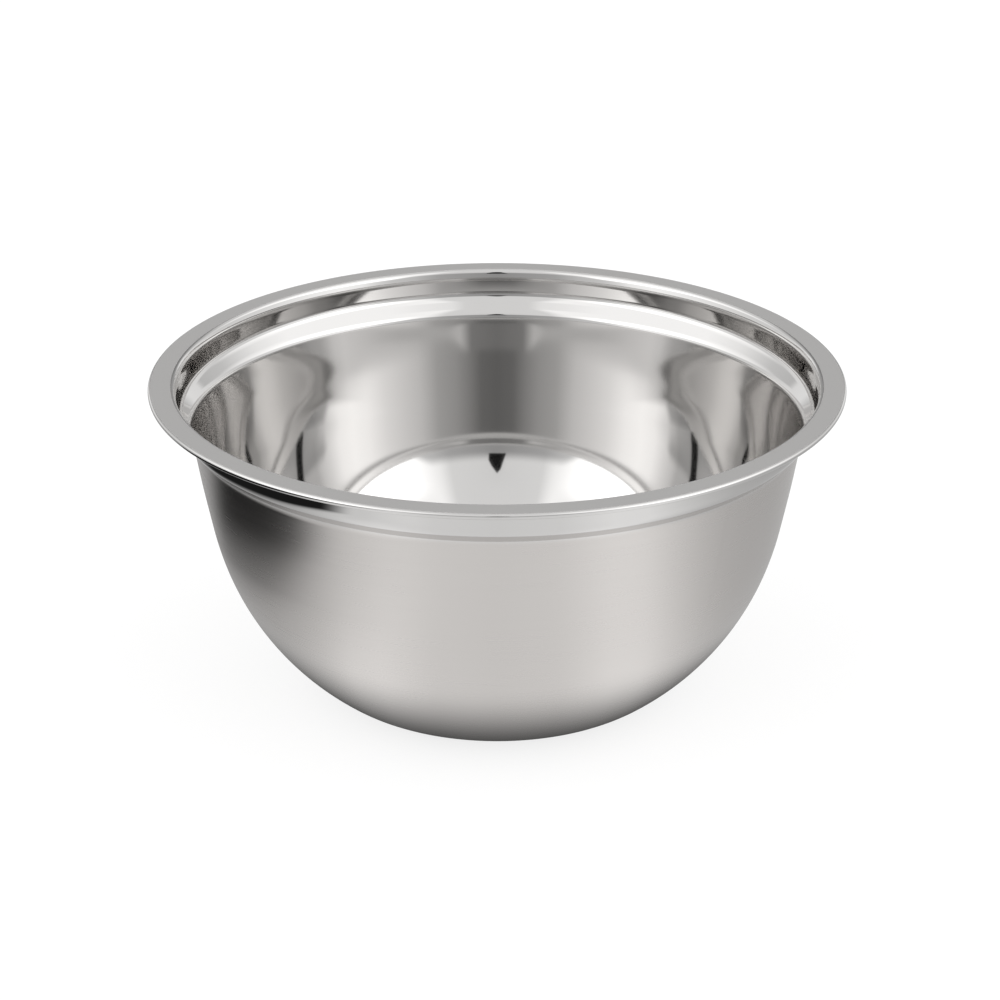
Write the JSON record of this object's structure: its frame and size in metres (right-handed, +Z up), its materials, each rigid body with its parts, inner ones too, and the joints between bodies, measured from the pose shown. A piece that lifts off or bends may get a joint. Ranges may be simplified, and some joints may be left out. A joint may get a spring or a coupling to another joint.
{
  "type": "mixing bowl",
  "caption": "Deep round steel mixing bowl with a flat rolled rim, a sunken shoulder with a sloping ledge below it, and a small flat foot.",
  "frame": {"origin": "centre of the underside, in the plane of the foot ring", "axes": "+Z up along the axis of revolution; X and Y are alike"},
  "size_m": [0.24, 0.24, 0.114],
  "materials": {
    "stainless_steel": "mirror polished inside and on the rim, fine satin outside"
  },
  "bodies": {
    "root": {"bowl_shell": "stainless_steel"}
  },
  "joints": []
}
